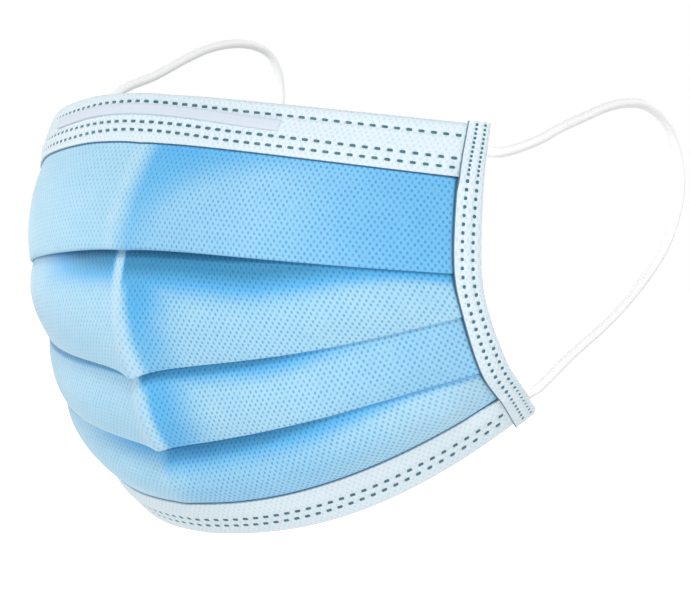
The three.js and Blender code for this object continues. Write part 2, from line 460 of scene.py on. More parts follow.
@dataclass(frozen=True, kw_only=True)
class Nonwoven:
    """Spun nonwoven cloth with a lattice of small bonded points.

    patch, cloud and fibre are how often a pattern repeats in a millimetre. An ease is from where to where a
    pattern sets in.
    """

    name: str
    cloth: Colour
    deep: Colour
    point: Colour
    point_show: float
    pitch_across: float = 1.5
    pitch_down: float = 2.15
    point_ease: Span = (0.0, 0.9)
    patch: float = 0.9
    patch_ease: Span = (0.15, 0.6)
    cloud: float = 0.12
    cloud_ease: Span = (0.3, 0.7)
    cloud_show: float = 0.25
    fibre: float = 0.35
    fibre_thinness: float = 7.0
    fibre_detail: float = 4.0
    fibre_ease: Span = (0.35, 0.7)
    fibre_show: float = 0.25
    fibre_height: float = 0.4
    emboss: float = 0.08
    roughness: float = 0.6
    specular: float = 0.4
    sheen: float = 0.1
    sheen_roughness: float = 0.4

    def show_points(self, sheet: NodeSheet, place: Node) -> object:
        """How strongly the bonded points show."""
        return self.point_show

    def tint(self, sheet: NodeSheet, colour: Socket, place: Node) -> Socket:
        """Leaves the colour of plain cloth as it is."""
        return colour

    def material(self) -> Material:
        """Makes the cloth's material: fibres, clouds and bonded points.

        Returns:
            The material.
        """
        sheet = NodeSheet(self.name)
        place, axes = sheet.cloth_place()
        pitches = (self.pitch_across, self.pitch_down)
        waves = [sheet.math("COSINE", sheet.turn(axis, pitch)) for axis, pitch in zip(axes.outputs, pitches)]
        uneven = sheet.ease(sheet.noise(place, (self.patch,) * 3), *self.patch_ease)
        lattice = sheet.ease(sheet.math("MULTIPLY", *waves), *self.point_ease)
        points = sheet.math("MULTIPLY", lattice, uneven)
        clouds = sheet.ease(sheet.noise(place, (self.cloud,) * 3), *self.cloud_ease)
        fibre_stretch = (self.fibre, self.fibre * self.fibre_thinness, 1.0)
        fibres = sheet.noise(place, fibre_stretch, self.fibre_detail)
        cloudy = sheet.math("MULTIPLY", clouds, self.cloud_show)
        streaks = sheet.math("MULTIPLY", sheet.ease(fibres, *self.fibre_ease), self.fibre_show)
        streaked = sheet.mix(sheet.math("ADD", cloudy, streaks), self.cloth, self.deep)
        shown = sheet.math("MULTIPLY", points, self.show_points(sheet, axes))
        dotted = sheet.mix(shown, streaked, self.point)
        sheet.shade(
            {
                "Base Color": self.tint(sheet, dotted, axes),
                "Roughness": self.roughness,
                "Sheen Weight": self.sheen,
                "Sheen Roughness": self.sheen_roughness,
                "Specular IOR Level": self.specular,
            }
        )
        raised = sheet.math("SUBTRACT", sheet.math("MULTIPLY", fibres, self.fibre_height), points)
        sheet.bump(raised, self.emboss)
        return sheet.material


@dataclass(frozen=True, kw_only=True)
class SeamShadedCloth(Nonwoven):
    """Cloth with a painted shadow line along its seams."""

    # rim is the colour of the painted shadow line, seam_shadow_width how far it reaches from the seam
    rim: Colour
    seam_shadow_width: float
    seam_shadow_ease: float = 0.3

    def tint(self, sheet: NodeSheet, colour: Socket, place: Node) -> Socket:
        """Paints a shadow line along the cloth's seam.

        Args:
            sheet: The material's nodes.
            colour: The socket of the cloth's colour.
            place: The node that parts the cloth's place into its axes.

        Returns:
            The socket of the changed colour.
        """
        near, far = [self.seam_shadow_width * (1.0 + ease) for ease in (-self.seam_shadow_ease, self.seam_shadow_ease)]
        return sheet.mix(sheet.ease(place.outputs[2], near, far), self.rim, colour)


@dataclass(frozen=True, kw_only=True)
class PanelCloth(SeamShadedCloth):
    """The panel's cloth, with painted shade by the crease and under the folds, and a painted crease
    highlight.

    pressed and shade are shares of the cloth's own colour: pressed is the painted shade, shade the deepest
    painted shade under the folds. pale is the colour of the painted highlight.
    """

    pressed: Colour
    shade: Colour
    pale: Colour
    right_points: float
    points_turn: float

    def show_points(self, sheet: NodeSheet, place: Node) -> Socket:
        """How strongly the bonded points show: less on the right of the panel.

        Args:
            sheet: The material's nodes.
            place: The node that parts the cloth's place into its axes.

        Returns:
            The socket of the strength.
        """
        on_left = sheet.ease(place.outputs[0], -self.points_turn, self.points_turn)
        more = sheet.math("MULTIPLY", on_left, self.point_show * (1.0 - self.right_points))
        return sheet.math("ADD", more, self.point_show * self.right_points)

    def tint(self, sheet: NodeSheet, colour: Socket, place: Node) -> Socket:
        """Paints shade and highlights into the cloth's colour, and a shadow line along its seams.

        Args:
            sheet: The material's nodes.
            colour: The socket of the cloth's colour.
            place: The node that parts the cloth's place into its axes.

        Returns:
            The socket of the changed colour.
        """
        tone = sheet.add("ShaderNodeAttribute", attribute_name=PAINTED_TONE).outputs["Fac"]
        spans = (PAINTED_SHADE_TONE, PAINTED_DEEP_SHADE_TONE, PAINTED_HIGHLIGHT_TONE)
        painting_shade, painting_deep_shade, painting_highlight = [sheet.ramp(tone, *span) for span in spans]
        # painted shade, then the deepest painted shade under the folds, then the painted highlight; the
        # parent adds the painted seam shadow line
        shade_painted = sheet.mix(painting_shade, colour, self.pressed, "MULTIPLY")
        shade_painted = sheet.mix(painting_deep_shade, shade_painted, self.shade, "MULTIPLY")
        return super().tint(sheet, sheet.mix(painting_highlight, shade_painted, self.pale), place)


@dataclass(frozen=True)
class WeldedSpot:
    """Cloth that a weld has melted flat: darker and glossier than the cloth round it."""

    name: str
    melt: Colour
    rim: Colour
    roughness: float = 0.45
    grain: float = 900.0
    grain_ease: Span = (0.35, 0.7)
    relief: float = 0.03

    def material(self) -> Material:
        """Makes the material of the weld marks.

        Returns:
            The material.
        """
        sheet = NodeSheet(self.name)
        place = sheet.add("ShaderNodeTexCoord").outputs["Object"]
        grain = sheet.noise(place, (self.grain,) * 3)
        melted = sheet.mix(sheet.ease(grain, *self.grain_ease), self.melt, self.rim)
        sheet.shade({"Base Color": melted, "Roughness": self.roughness})
        sheet.bump(grain, self.relief)
        return sheet.material


@dataclass(frozen=True)
class KnittedElastic:
    """Knitted elastic cord, with painted shade in the hollows of its stitches and on its under side.

    Its cloth place is the length round it, the length along it, and how far it faces its under side.
    """

    name: str
    yarn: Colour
    # shade is the colour of the painted shade in the hollows of the stitches
    shade: Colour
    # under is the colour of the painted shade on the under side
    under: Colour
    course: float = 0.9
    wale: float = 0.88
    slant: float = 1.2
    stitch_ease: Span = (-1.0, 0.6)
    grain: float = 2.0
    grain_ease: Span = (0.0, 0.9)
    relief: float = 0.02
    roughness: float = 0.8
    sheen: float = 0.7
    specular: float = 0.25

    def material(self) -> Material:
        """Makes the cord's material: small slanted stitches, painted shade in their hollows and underneath.

        Returns:
            The material.
        """
        sheet = NodeSheet(self.name)
        place, axes = sheet.cloth_place()
        around, along, facing = axes.outputs
        slant = sheet.math("MULTIPLY", sheet.math("COSINE", sheet.turn(around, self.wale)), self.slant)
        stitch = sheet.math("SINE", sheet.math("ADD", sheet.turn(along, self.course), slant))
        height = sheet.ease(stitch, *self.stitch_ease)
        grain = sheet.ease(sheet.noise(place, (self.grain,) * 3), *self.grain_ease)
        depth = sheet.math("MULTIPLY", sheet.math("SUBTRACT", 1.0, height), grain)
        knitted = sheet.mix(depth, self.yarn, self.shade)
        # the cord's under side is painted in shade
        sheet.shade(
            {
                "Base Color": sheet.mix(sheet.ease(facing, 0.0, 1.0), knitted, self.under),
                "Roughness": self.roughness,
                "Sheen Weight": self.sheen,
                "Specular IOR Level": self.specular,
            }
        )
        sheet.bump(height, self.relief)
        return sheet.material


@dataclass(frozen=True)
class StudioPaint:
    """Plain matt paint of the studio, which glows a little so that it stays white."""

    name: str
    paint: Colour
    glow: float
    roughness: float = 0.9

    def material(self) -> Material:
        """Makes the material of the floor or the backdrop.

        Returns:
            The material.
        """
        sheet = NodeSheet(self.name)
        sheet.shade(
            {
                "Base Color": (*self.paint, 1.0),
                "Roughness": self.roughness,
                "Specular IOR Level": 0.0,
                "Emission Color": WHITE_LIGHT,
                "Emission Strength": self.glow,
            }
        )
        return sheet.material


BLUE_CLOTH = PanelCloth(
    name="blue_nonwoven",
    cloth=(0.39, 0.67, 0.83),
    deep=(0.28, 0.58, 0.8),
    point=(0.07, 0.33, 0.63),
    point_show=0.84,
    # pressed and shade are painted shade, pale is the painted highlight and rim the painted seam shadow line
    pressed=(0.26, 0.69, 0.97),
    shade=(0.26, 0.56, 0.58),
    pale=(0.66, 0.78, 0.87),
    right_points=0.6,
    points_turn=12.0,
    rim=(0.03, 0.18, 0.34),
    seam_shadow_width=0.45,
    specular=0.5,
    sheen=0.5,
)
WHITE_CLOTH = Nonwoven(
    name="white_nonwoven",
    cloth=(0.71, 0.81, 0.86),
    deep=(0.65, 0.77, 0.84),
    point=(0.5, 0.66, 0.77),
    point_show=0.6,
)
LINING_CLOTH = Nonwoven(
    name="lining_nonwoven",
    cloth=(0.85, 0.87, 0.89),
    deep=(0.81, 0.84, 0.87),
    point=(0.68, 0.72, 0.76),
    point_show=0.6,
)
SIDE_CLOTH = SeamShadedCloth(
    **{**asdict(WHITE_CLOTH), "name": "side_nonwoven"},
    # rim is a painted shadow line along the strip's inner edges
    rim=(0.12, 0.22, 0.27),
    seam_shadow_width=0.2,
)
WIRE_SLEEVE = Nonwoven(
    name="wire_sleeve",
    cloth=(0.64, 0.71, 0.8),
    deep=(0.61, 0.69, 0.79),
    point=(0.59, 0.68, 0.78),
    point_show=0.2,
    emboss=0.03,
)
WELD = WeldedSpot("weld_mark", melt=(0.035, 0.13, 0.17), rim=(0.06, 0.18, 0.22))
# shade and under are painted shade: in the stitch hollows and on the under side
ELASTIC = KnittedElastic(
    "knitted_elastic", yarn=(0.99, 0.99, 0.99), shade=(0.94, 0.94, 0.94), under=(0.74, 0.74, 0.74)
)
FLOOR_PAINT = StudioPaint("floor_paint", paint=(0.5, 0.5, 0.5), glow=0.95)
BACKDROP_PAINT = StudioPaint("backdrop_paint", paint=(0.0, 0.0, 0.0), glow=1.0)


def make_object(
    name: str, points: Array, faces: list[list[int]], materials: list[Material], slots: Array
) -> Piece:
    """Makes a mesh object and puts it in the scene.

    Args:
        name: The object's name.
        points: Its points, in metres.
        faces: Its faces, as lists of point numbers.
        materials: Its materials.
        slots: Which material each face takes.

    Returns:
        The object.
    """
    mesh = bpy.data.meshes.new(name)
    mesh.from_pydata(points.tolist(), [], faces)
    for material in materials:
        mesh.materials.append(material)
    mesh.polygons.foreach_set("material_index", np.asarray(slots, np.int32))
    mesh.polygons.foreach_set("use_smooth", np.ones(len(faces), bool))
    mesh.set_sharp_from_angle(angle=CREASE_ANGLE)
    mesh.update()
    made = bpy.data.objects.new(name, mesh)
    bpy.context.scene.collection.objects.link(made)
    return made


def mark_place(made: Piece, place: Array) -> None:
    """Stores where each point lies on its flat cloth.

    Args:
        made: The object.
        place: Millimetres across the cloth and down it. Panel and side strips add the distance to a seam,
            which
        sets their painted shadow line, and cords how far they face their under side, which is painted in
        shade.
    """
    attribute = made.data.attributes.new(CLOTH_PLACE, "FLOAT_VECTOR", "POINT")
    full = np.zeros((len(place), 3), np.float32)
    full[:, : place.shape[1]] = place
    attribute.data.foreach_set("vector", full.ravel())


@dataclass
class ClothWall:
    """A closed wall of cloth round a grid of middle points: columns along it, rows along its profile."""

    name: str
    middle: Array
    thickness: Array
    place: Array

    def build(self, outside: Material, inside: Material) -> Piece:
        """Makes the wall.

        Args:
            outside: The material of its outer skin and its cut edges.
            inside: The material of its inner skin.

        Returns:
            The object.
        """
        columns, rows = self.middle.shape[:2]
        along = np.gradient(self.middle, axis=0)
        down = np.gradient(self.middle, axis=1)
        outward = unit(np.cross(down, along)) * (self.thickness / 2.0)[..., None]
        points = np.stack([self.middle + outward, self.middle - outward]).reshape(-1, 3)
        front = np.arange(columns * rows).reshape(columns, rows)
        back = front + columns * rows
        skins = [
            self.quads(front[:-1, :-1], front[:-1, 1:], front[1:, 1:], front[1:, :-1]),
            self.quads(back[:-1, :-1], back[1:, :-1], back[1:, 1:], back[:-1, 1:]),
        ]
        edges = [
            self.quads(front[:-1, 0], front[1:, 0], back[1:, 0], back[:-1, 0]),
            self.quads(front[:-1, -1], back[:-1, -1], back[1:, -1], front[1:, -1]),
            self.quads(front[0, :-1], back[0, :-1], back[0, 1:], front[0, 1:]),
            self.quads(front[-1, :-1], front[-1, 1:], back[-1, 1:], back[-1, :-1]),
        ]
        faces = np.concatenate(skins + edges)
        slots = np.zeros(len(faces), np.int32)
        slots[len(skins[0]) : len(skins[0]) + len(skins[1])] = 1
        made = make_object(self.name, points * MM, faces.tolist(), [outside, inside], slots)
        flat = self.place.reshape(columns * rows, -1)
        mark_place(made, np.concatenate([flat, flat]))
        return made

    @staticmethod
    def quads(*corners: Array) -> Array:
        """Rows of four point numbers from four arrays of corners."""
        return np.stack([corner.ravel() for corner in corners], axis=-1)


@dataclass(frozen=True, kw_only=True)
class PaintedClothTone:
    """Painted light and shade of the open cloth between two lines.

    reach is how far the painted shade beside the crease reaches left from the crease, lean how far its edge
    there lies off the crease, and ease how soft that edge is, in millimetres. depth is how deep that painted
    shade is. reach, lean and depth have a number for the upper line and one for the lower. fold_reach is how
    far the painted shade of the fold above reaches, in millimetres, and fold_shade how deep it is right of
    the crease, left of it and beside the left binding. fold_shadow_line is how deep the painted shadow line
    at the fold is, right and left. plain is how deep the painted shade is besides, in the middle and beside
    the left binding; below 0 it is a painted highlight. fade is how strong the painted highlight along the
    crease is.
    """

    plain: Span
    reach: Span = (1.0, 1.0)
    lean: Span = (0.0, 0.0)
    ease: float = 1.0
    depth: Span = (0.0, 0.0)
    fade: float = 0.0
    fold_reach: float = 1.0
    fold_shade: tuple[float, float, float] = (0.0, 0.0, 0.0)
    fold_shadow_line: Span = (0.0, 0.0)


# painted light and shade of each open part of the panel, from the top down
PAINTED_CLOTH_TONES = (
    PaintedClothTone(
        plain=(0.3, 0.8),
        reach=(85.0, 14.0),
        lean=(2.6, -3.8),
        ease=6.0,
        depth=(1.05, 0.65),
        fade=0.2,
    ),
    PaintedClothTone(
        plain=(0.05, 0.0),
        reach=(34.0, 15.0),
        lean=(-1.0, 3.4),
        ease=2.4,
        depth=(1.4, 0.6),
        fade=0.32,
        fold_reach=14.5,
        fold_shade=(2.6, 2.6, 1.4),
        fold_shadow_line=(0.0, 1.9),
    ),
    PaintedClothTone(
        plain=(0.0, 0.3),
        reach=(18.0, 18.0),
        lean=(0.9, 2.2),
        ease=2.0,
        depth=(1.0, 0.95),
        fade=0.24,
        fold_reach=7.5,
        fold_shade=(0.3, 1.6, 0.0),
        fold_shadow_line=(2.0, 0.1),
    ),
    PaintedClothTone(
        plain=(0.3, -0.15),
        fold_reach=10.0,
        fold_shade=(1.7, 1.85, 1.0),
        fold_shadow_line=(1.9, 1.7),
    ),
)


@dataclass
class PleatedPanel:
    """The face panel: one cloth in three pleats that open downwards, blue outside and white inside.

    Lengths are in millimetres. A start and an end are the shares of the half width between which something
    changes: loft where the layers of a pleat close up, far and left towards the left binding, and right
    towards the right one. far_reach and right_reach are how much of its reach the painted shade of a fold has
    there. crease_start is where the painted shade beside the crease begins to thin out, as a share of its
    reach. The strip is the painted highlight along the crease, which hides all other painted tones from
    full_highlight on. The lines are the painted shadow lines below the folds.
    """

    cloth: float = 0.4
    pressed_cloth: float = 0.28
    gap: float = 0.1
    pressed_gap: float = 0.1
    loft_start: float = 0.2
    loft_end: float = 0.62
    lap_middle: float = 4.0
    lap_side: float = 8.0
    lap_pressed: float = 3.0
    fold_bulge: float = 0.6
    fold_reach: float = 0.15
    edge_inset: float = 1.3
    side_strip: float = 6.4
    middle_closeness: float = 0.6
    row_closeness: float = 1.5
    columns: int = 221
    open_rows: int = 30
    hidden_rows: int = 6
    fold_rows: int = 6
    crease_start: float = 0.2
    strip_width: float = 4.4
    strip_ease: float = 0.7
    plain_ease: float = 8.0
    far_start: float = 0.35
    far_end: float = 0.85
    far_reach: float = 0.3
    right_start: float = 0.1
    right_end: float = 0.5
    right_reach: float = 0.8
    reach_power: int = 3
    right_line_width: float = 3.0
    left_line_width: float = 1.2
    line_ease: float = 0.8
    left_start: float = -0.1
    left_end: float = 0.5
    full_highlight: float = 0.25

    def cloth_at(self, share: Array) -> Array:
        """Thickness of the cloth, which is thinner under the side bindings."""
        return blend(self.cloth, self.pressed_cloth, FORM.pressed(share))

    def layer_step(self, share: Array, pleat: Line) -> Array:
        """Finds the distance between the middles of two layers of a pleat.

        Args:
            share: Where across the cloth.
            pleat: The line of the pleat.

        Returns:
            The distance.
        """
        lofty = 1.0 - smooth_step(np.abs(share), self.loft_start, self.loft_end)
        loose = self.gap + FORM.lines[pleat].loft * lofty
        return self.cloth_at(share) + blend(loose, self.pressed_gap, FORM.pressed(share))

    @property
    def pleat_rows(self) -> int:
        """Rows from the start of one open part of the cloth to the start of the next."""
        return self.open_rows + 2 * (self.fold_rows + self.hidden_rows)

    def open_parts(self, rows: int) -> Array:
        """Which open part of the cloth each row belongs to. It changes behind the folds."""
        passed = np.arange(rows) - self.hidden_rows - 1 + self.fold_rows + 2 * self.hidden_rows
        return np.clip(passed // self.pleat_rows, 0, len(PLEATS))

    def tone(self, across: Array, stations: Array) -> Array:
        """Finds the painted light and shade of the cloth.

        Args:
            across: Millimetres across the cloth.
            stations: Where down the cloth.

        Returns:
            The painted tone, from -1 at the strongest painted highlight to 2 at the deepest painted shade.
        """
        tone = np.zeros(stations.shape)
        share = across / FORM.half_width
        parts = self.open_parts(stations.shape[1])
        on_left = smooth_step(share, self.left_start, self.left_end)
        beside_left = smooth_step(share, self.far_start, self.far_end)
        beside_right = smooth_step(-share, self.right_start, self.right_end)
        for number, cloth in enumerate(PAINTED_CLOTH_TONES):
            part = np.clip(stations - Line.TOP_SEAM - number, 0.0, 1.0)
            below = part * FORM.span_above(share, Line.FIRST_PLEAT + number)
            aside = across - blend(*cloth.lean, part)
            reach = blend(*reversed(cloth.reach), (1.0 - part) ** self.reach_power)
            # painted shade beside the crease, on the wearer's left of it
            crease_shade = blend(*cloth.depth, part) * smooth_step(aside, 0.0, cloth.ease)
            crease_shade = crease_shade * (1.0 - smooth_step(aside / reach, self.crease_start, 1.0))
            # painted shade under the fold above
            right_shade, left_shade, far_shade = cloth.fold_shade
            past_crease = smooth_step(aside, -self.strip_width, 0.0)
            left_shade = blend(left_shade, far_shade, beside_left)
            shade = blend(right_shade * (1.0 - beside_right), left_shade, past_crease)
            narrow = blend(self.right_reach, blend(1.0, self.far_reach, beside_left), past_crease)
            folded = shade * (1.0 - smooth_step(below / (cloth.fold_reach * narrow), 0.0, 1.0))
            # painted shadow line right below the fold above
            line_end = blend(self.right_line_width, self.left_line_width, on_left)
            shadow_lined = blend(*cloth.fold_shadow_line, on_left)
            shadow_lined = shadow_lined * (1.0 - smooth_step(below, line_end - self.line_ease, line_end))
            # painted shade over the rest of the cloth, which is a painted highlight where plain is below 0
            plain = blend(*cloth.plain, beside_left) * smooth_step(across, 0.0, self.plain_ease)
            # painted highlight along the crease
            strip = smooth_step(aside, -self.strip_width, -self.strip_width / 2.0)
            strip = strip * (1.0 - smooth_step(aside, -self.strip_ease, self.strip_ease))
            deepest = np.maximum.reduce([crease_shade, folded, shadow_lined])
            deepest = deepest + plain * (1.0 - np.minimum(deepest, 1.0))
            found = blend(deepest, -cloth.fade, strip * min(cloth.fade / self.full_highlight, 1.0))
            tone = np.where(parts == number, found, tone)
        return tone

    def lap(self, share: Array) -> Array:
        """How far a fold covers the cloth below it."""
        loose = blend(self.lap_middle, self.lap_side, share * share)
        return blend(loose, self.lap_pressed, FORM.pressed(share))

    def lift_between(self, share: Array, start: Array, end: Array, line: Line, part: Array) -> Array:
        """Finds how far open cloth stands off the smooth surface.

        Args:
            share: Where across the cloth.
            start: Its lift at the line above.
            end: Its lift at this line.
            line: The line that it ends at.
            part: How far down it is, from 0 to 1.

        Returns:
            The lift.
        """
        swell = FORM.lines[line].billow * FORM.span_above(share, line) * (1.0 - FORM.pressed(share))
        return blend(start, end, np.sin(part * math.pi / 2.0)) + swell * np.sin(part * math.pi)

    def profile(self, share: Array) -> tuple[Array, Array]:
        """Lays the cloth in its pleats, from the top edge down.

        Args:
            share: Where across the cloth, one for each column.

        Returns:
            The stations and the lifts of each column's points.
        """
        share = share[:, None]
        stations, lifts = [], []

        def lay(station: Array, lift: Array) -> None:
            """Adds some rows to every column.

            Args:
                station: Where down the cloth they are.
                lift: How far they stand off the smooth surface.
            """
            station, lift, _ = np.broadcast_arrays(station, lift, share)
            stations.append(station)
            lifts.append(lift)

        open_part = np.linspace(0.0, 1.0, self.open_rows + 1)[None, 1:] ** self.row_closeness
        hidden_part = np.linspace(0.0, 1.0, self.hidden_rows + 1)[None, 1:]
        turn = np.linspace(0.0, math.pi, self.fold_rows + 1)[None, 1:]
        first = Line.TOP_EDGE + self.edge_inset / FORM.span_above(share, Line.TOP_SEAM)
        lay(blend(first, Line.TOP_SEAM, np.linspace(0.0, 1.0, self.hidden_rows + 1)[None]), 0.0 * first)
        start = 0.0 * share
        for pleat in PLEATS:
            span = FORM.span_above(share, pleat)
            step = self.layer_step(share, pleat)
            tip = step * FORM.pressed(share)
            bulge = self.fold_bulge * step / 2.0
            bend = pleat - (bulge - self.fold_reach) / span
            top = pleat - self.lap(share) / span
            behind = self.lift_between(share, start, tip, pleat, top - (pleat - 1)) - step
            lay(blend(pleat - 1, bend, open_part), self.lift_between(share, start, tip, pleat, open_part))
            lay(bend + bulge / span * np.sin(turn), tip - step / 2.0 * (1.0 - np.cos(turn)))
            lay(blend(bend, top, hidden_part), blend(tip - step, behind, hidden_part))
            lay(top - bulge / span * np.sin(turn), behind - step / 2.0 * (1.0 - np.cos(turn)))
            start = tip - 2.0 * step
            lay(blend(top, pleat, hidden_part), blend(behind - step, start, hidden_part))
        lay(
            Line.THIRD_PLEAT + open_part,
            self.lift_between(share, start, 0.0 * share, Line.BOTTOM_SEAM, open_part),
        )
        last = Line.BOTTOM_EDGE - self.edge_inset / FORM.span_above(share, Line.BOTTOM_EDGE)
        lay(blend(Line.BOTTOM_SEAM, last, hidden_part), 0.0 * last)
        return np.concatenate(stations, axis=1), np.concatenate(lifts, axis=1)

    def even_rows(self, down: Array) -> Array:
        """Starts each open part of the cloth level, so that its lattice runs along the fold above it.

        Args:
            down: Length of cloth down each column.

        Returns:
            Millimetres down the cloth, which jump only inside the folds.
        """
        begun = down[:, self.open_parts(down.shape[1]) * self.pleat_rows + self.hidden_rows]
        return down - begun + begun.mean(axis=0)

    def build(self) -> Piece:
        """Makes the panel and stores where its points lie on the flat cloth.

        Returns:
            The object.
        """
        end = 1.0 - self.edge_inset / FORM.half_width
        even = np.linspace(-1.0, 1.0, self.columns)
        share = end * even * blend(self.middle_closeness, 1.0, even * even)
        stations, lifts = self.profile(share)
        middle = FORM.lifted(share[:, None], stations, lifts)
        down = length_along(middle)
        across = np.broadcast_to(share[:, None] * FORM.half_width, down.shape)
        # distance to the nearest binding, which sets the painted shadow line along the seams
        seams = (down - down[:, [self.hidden_rows]], down[:, [-1 - self.hidden_rows]] - down)
        beside = FORM.half_width - self.side_strip - np.abs(across)
        to_binding = np.maximum(np.minimum(np.minimum(*seams), beside), 0.0)
        place = np.stack([across, self.even_rows(down), to_binding], axis=-1)
        wall = ClothWall("pleated_panel", middle, self.cloth_at(share)[:, None], place)
        made = wall.build(BLUE_CLOTH.material(), LINING_CLOTH.material())
        # stores the painted light and shade for both skins
        tone = made.data.attributes.new(PAINTED_TONE, "FLOAT", "POINT")
        tone.data.foreach_set("value", np.tile(self.tone(across, stations).ravel(), 2).astype(np.float32))
        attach(made, BODY)
        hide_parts("face_panel_upper", "face_panel_lower")
        flat_length = float(down[:, -1].mean())
        log.info("%s: flat %.1f by %.1f mm", made.name, 2.0 * end * FORM.half_width, flat_length)
        return made


@dataclass(frozen=True)
class EarLoopRoute:
    """The way of one ear loop from the top of its side binding to the bottom, in metres."""

    side: Side
    node: str
    points: tuple[Point, ...]


LEFT_ROUTE = EarLoopRoute(
    Side.LEFT,
    "ear_loop_left",
    (
        (0.073, 0.0585, -0.012),
        (0.074, 0.0685, -0.0085),
        (0.074, 0.08, -0.0055),
        (0.074, 0.0925, -0.0025),
        (0.074, 0.102, -0.0015),
        (0.074, 0.1105, -0.002),
        (0.074, 0.1185, -0.005),
        (0.074, 0.125, -0.0105),
        (0.074, 0.1285, -0.0185),
        (0.074, 0.1285, -0.025),
        (0.0735, 0.126, -0.0325),
        (0.073, 0.122, -0.039),
        (0.0725, 0.114, -0.046),
        (0.072, 0.102, -0.054),
        (0.071, 0.0915, -0.06),
        (0.07, 0.0815, -0.065),
    ),
)
RIGHT_ROUTE = EarLoopRoute(
    Side.RIGHT,
    "ear_loop_right",
    (
        (-0.0695, 0.054, -0.008),
        (-0.0665, 0.066, 0.003),
        (-0.064, 0.079, 0.008),
        (-0.062, 0.0915, 0.0135),
        (-0.061, 0.1005, 0.0165),
        (-0.06, 0.1105, 0.018),
        (-0.06, 0.12, 0.0175),
        (-0.06, 0.126, 0.0155),
        (-0.06, 0.13, 0.011),
        (-0.0605, 0.132, 0.0055),
        (-0.061, 0.132, -0.002),
        (-0.062, 0.131, -0.012),
        (-0.063, 0.127, -0.023),
        (-0.064, 0.121, -0.033),
        (-0.0655, 0.113, -0.043),
        (-0.0665, 0.104, -0.0515),
        (-0.0675, 0.094, -0.059),
        (-0.068, 0.083, -0.066),
    ),
)


@dataclass
class EarLoop:
    """A round knitted elastic cord that runs back into the same side binding, with welded flat ends.

    fineness is how many points its route has for each ring, and wales how many rows of stitches go round it.
    """

    route: EarLoopRoute
    diameter: float = 2.6
    start: float = 0.5
    end: float = 5.55
    lead: float = 3.0
    inset: float = 1.2
    rings: int = 420
    fineness: int = 10
    around: int = 20
    flat_length: float = 4.0
    flat_share: float = 0.45
    wales: int = 5
    stitch_depth: float = 0.05
    # shaded_side is the side of the cord that is painted in shade
    shaded_side: Point = (0.45, 0.5, -0.74)

    def path(self) -> Array:
        """Finds the middle line of the cord, in metres.

        Returns:
            Its points.
        """
        leads = []
        for station in (self.start, self.end):
            edge = FORM.surface(np.array(float(self.route.side)), np.array(station))
            near = FORM.surface(np.array(self.route.side * (1.0 - FORM.probe)), np.array(station))
            away = unit(edge - near)
            leads.append([(edge + away * reach) * MM for reach in (-self.inset, self.lead)])
        points = np.array([*leads[0], *self.route.points, *reversed(leads[1])])
        place = np.linspace(0.0, len(points) - 1.0, self.rings * self.fineness)
        repeated = np.broadcast_to(points[:, None], (len(points), len(place), 3))
        return self.even_steps(smooth_curve(repeated, place))

    def even_steps(self, points: Array) -> Array:
        """Lays out a line in equal steps, one for each ring.

        Args:
            points: The line's points.

        Returns:
            The points at the ends of the steps.
        """
        run = length_along(points)
        even = np.linspace(0.0, run[-1], self.rings)
        return np.stack([np.interp(even, run, points[:, axis]) for axis in range(3)], axis=-1)

    def build(self) -> Piece:
        """Returns:
            The object.
        """
        path = self.path()
        ahead = unit(np.gradient(path, axis=0))
        aside = np.zeros_like(path)
        aside[0] = unit(np.cross(ahead[0], X_AXIS))
        for ring in range(1, self.rings):
            carried = aside[ring - 1] - ahead[ring] * (aside[ring - 1] @ ahead[ring])
            aside[ring] = unit(carried)
        across = np.cross(ahead, aside)
        run = length_along(path) / MM
        length = float(run[-1])
        to_end = np.minimum(run, length - run)
        flat = blend(self.flat_share, 1.0, smooth_step(to_end, self.inset, self.flat_length))
        angle = np.linspace(0.0, FULL_TURN, self.around, endpoint=False)[None, :]
        stitch = np.cos(angle * self.wales) * np.cos(run[:, None] * FULL_TURN / ELASTIC.course)
        radius = self.diameter / 2.0 + self.stitch_depth * (stitch - 1.0)
        sideways = (radius * np.cos(angle) * flat[:, None])[..., None] * across[:, None]
        upright = (radius * np.sin(angle))[..., None] * aside[:, None]
        rings = path[:, None] + (sideways + upright) * MM
        number = np.arange(self.rings * self.around).reshape(self.rings, self.around)
        after = np.roll(number, -1, axis=1)
        sides = ClothWall.quads(number[:-1], after[:-1], after[1:], number[1:])
        faces = [*sides.tolist(), number[0, ::-1].tolist(), number[-1].tolist()]
        side_name = self.route.side.name.lower()
        name = f"elastic_loop_{side_name}"
        made = make_object(name, rings.reshape(-1, 3), faces, [ELASTIC.material()], np.zeros(len(faces)))
        round_it = np.broadcast_to(angle * self.diameter / 2.0, number.shape)
        along_it = np.broadcast_to(run[:, None], number.shape)
        # how far each point faces shaded_side, which sets the cord's painted shade
        facing = unit(sideways + upright) @ unit(np.array(self.shaded_side))
        mark_place(made, np.stack([round_it, along_it, facing], axis=-1).reshape(-1, 3))
        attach(made, BODY)
        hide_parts(self.route.node)
        log.info("%s: %.0f mm long", made.name, length)
        return made


@dataclass(frozen=True)
class WeldRow:
    """A row of weld marks along a binding.

    part is where the row runs, from 0 at the binding's edge to 1 at its seam. shift moves it along by a
    share of the pitch.
    """

    part: float
    shift: float = 0.0


@dataclass(frozen=True)
class WeldShape:
    """Size of one weld mark and of the dent that it leaves, in millimetres."""

    half_length: float
    half_width: float
    dent: float = 0.3
    dent_reach: float = 0.7
    height: float = 0.14
    corners: int = 14
    squareness: float = 4.0


